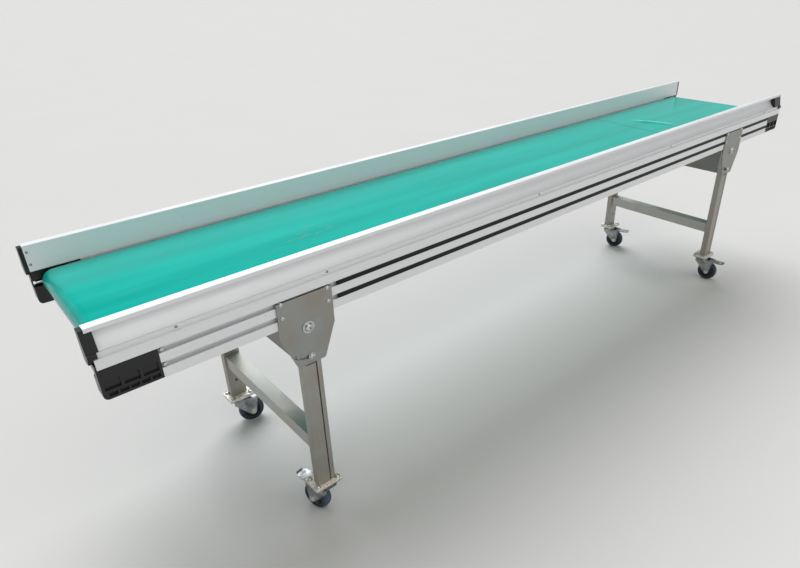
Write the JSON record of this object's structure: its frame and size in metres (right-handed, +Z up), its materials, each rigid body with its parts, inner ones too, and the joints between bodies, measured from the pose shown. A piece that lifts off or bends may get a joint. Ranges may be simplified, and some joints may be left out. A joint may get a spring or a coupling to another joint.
{
  "type": "mobile belt conveyor",
  "caption": "Flat belt conveyor with side guards on slotted aluminium rails, carried by tilting leg frames on braked swivel castors.",
  "frame": {"origin": "the middle of the belt's carrying face, 0.691 m above the floor", "axes": "+X along the bed from the near leg frame to the far one, +Y across the bed to the rear guard, +Z up"},
  "size_m": [2.908, 0.6172, 0.7575],
  "materials": {
    "anodised_aluminium": "satin",
    "green_belt": "satin",
    "black_plastic": "satin",
    "bed_steel": "satin",
    "roller_steel": "satin",
    "leg_steel": "brushed",
    "zinc_steel": "satin",
    "blue_tyre": "matte"
  },
  "bodies": {
    "bed": {"guard_front": "anodised_aluminium", "guard_rear": "anodised_aluminium", "rail_front": "anodised_aluminium", "rail_rear": "anodised_aluminium", "slot_strips": "black_plastic", "belt": "green_belt", "slider_bed": "bed_steel", "cross_ties": "bed_steel", "return_rollers": "roller_steel", "tail_drum": "roller_steel", "drive_drum": "roller_steel", "near_end_blocks": "black_plastic", "far_end_blocks": "black_plastic", "block_screws": "zinc_steel", "guard_caps": "black_plastic", "near_bracket_plates": "leg_steel", "far_bracket_plates": "leg_steel", "bracket_bolts": "zinc_steel"},
    "near_leg": {"near_post_front": "leg_steel", "near_post_rear": "leg_steel", "near_crossbar": "leg_steel", "near_cross_sheet": "leg_steel", "near_clamp_bolts": "zinc_steel", "near_castor_plates": "zinc_steel"},
    "far_leg": {"far_post_front": "leg_steel", "far_post_rear": "leg_steel", "far_crossbar": "leg_steel", "far_cross_sheet": "leg_steel", "far_clamp_bolts": "zinc_steel", "far_castor_plates": "zinc_steel"},
    "near_front_castor": {"near_front_fork": "zinc_steel", "near_front_pedal": "zinc_steel"},
    "near_front_wheel": {"near_front_hub": "black_plastic", "near_front_tyre": "blue_tyre"},
    "near_rear_castor": {"near_rear_fork": "zinc_steel", "near_rear_pedal": "zinc_steel"},
    "near_rear_wheel": {"near_rear_hub": "black_plastic", "near_rear_tyre": "blue_tyre"},
    "far_front_castor": {"far_front_fork": "zinc_steel", "far_front_pedal": "zinc_steel"},
    "far_front_wheel": {"far_front_hub": "black_plastic", "far_front_tyre": "blue_tyre"},
    "far_rear_castor": {"far_rear_fork": "zinc_steel", "far_rear_pedal": "zinc_steel"},
    "far_rear_wheel": {"far_rear_hub": "black_plastic", "far_rear_tyre": "blue_tyre"}
  },
  "joints": [
    {"name": "near_leg_tilt", "type": "hinge", "parent": "bed", "child": "near_leg", "pos_m": [-1.019, 0, -0.0995], "axis": [0, 1, 0], "range_deg": [0, 30]},
    {"name": "far_leg_tilt", "type": "hinge", "parent": "bed", "child": "far_leg", "pos_m": [1.019, 0, -0.0995], "axis": [0, 1, 0], "range_deg": [0, 30]},
    {"name": "near_front_swivel", "type": "hinge", "parent": "near_leg", "child": "near_front_castor", "pos_m": [-1.019, -0.246, -0.591], "axis": [0, 0, 1], "continuous": true},
    {"name": "near_front_wheel_spin", "type": "hinge", "parent": "near_front_castor", "child": "near_front_wheel", "pos_m": [-1.02676, -0.21702, -0.651], "axis": [-0.9659, -0.2588, 0], "continuous": true},
    {"name": "near_rear_swivel", "type": "hinge", "parent": "near_leg", "child": "near_rear_castor", "pos_m": [-1.019, 0.246, -0.591], "axis": [0, 0, 1], "continuous": true},
    {"name": "near_rear_wheel_spin", "type": "hinge", "parent": "near_rear_castor", "child": "near_rear_wheel", "pos_m": [-0.98929, 0.24183, -0.651], "axis": [0.1392, 0.9903, 0], "continuous": true},
    {"name": "far_front_swivel", "type": "hinge", "parent": "far_leg", "child": "far_front_castor", "pos_m": [1.019, -0.246, -0.591], "axis": [0, 0, 1], "continuous": true},
    {"name": "far_front_wheel_spin", "type": "hinge", "parent": "far_front_castor", "child": "far_front_wheel", "pos_m": [1.02421, -0.27554, -0.651], "axis": [0.9848, 0.1736, 0], "continuous": true},
    {"name": "far_rear_swivel", "type": "hinge", "parent": "far_leg", "child": "far_rear_castor", "pos_m": [1.019, 0.246, -0.591], "axis": [0, 0, 1], "continuous": true},
    {"name": "far_rear_wheel_spin", "type": "hinge", "parent": "far_rear_castor", "child": "far_rear_wheel", "pos_m": [1.03024, 0.21818, -0.651], "axis": [0.9272, 0.3746, 0], "continuous": true}
  ]
}
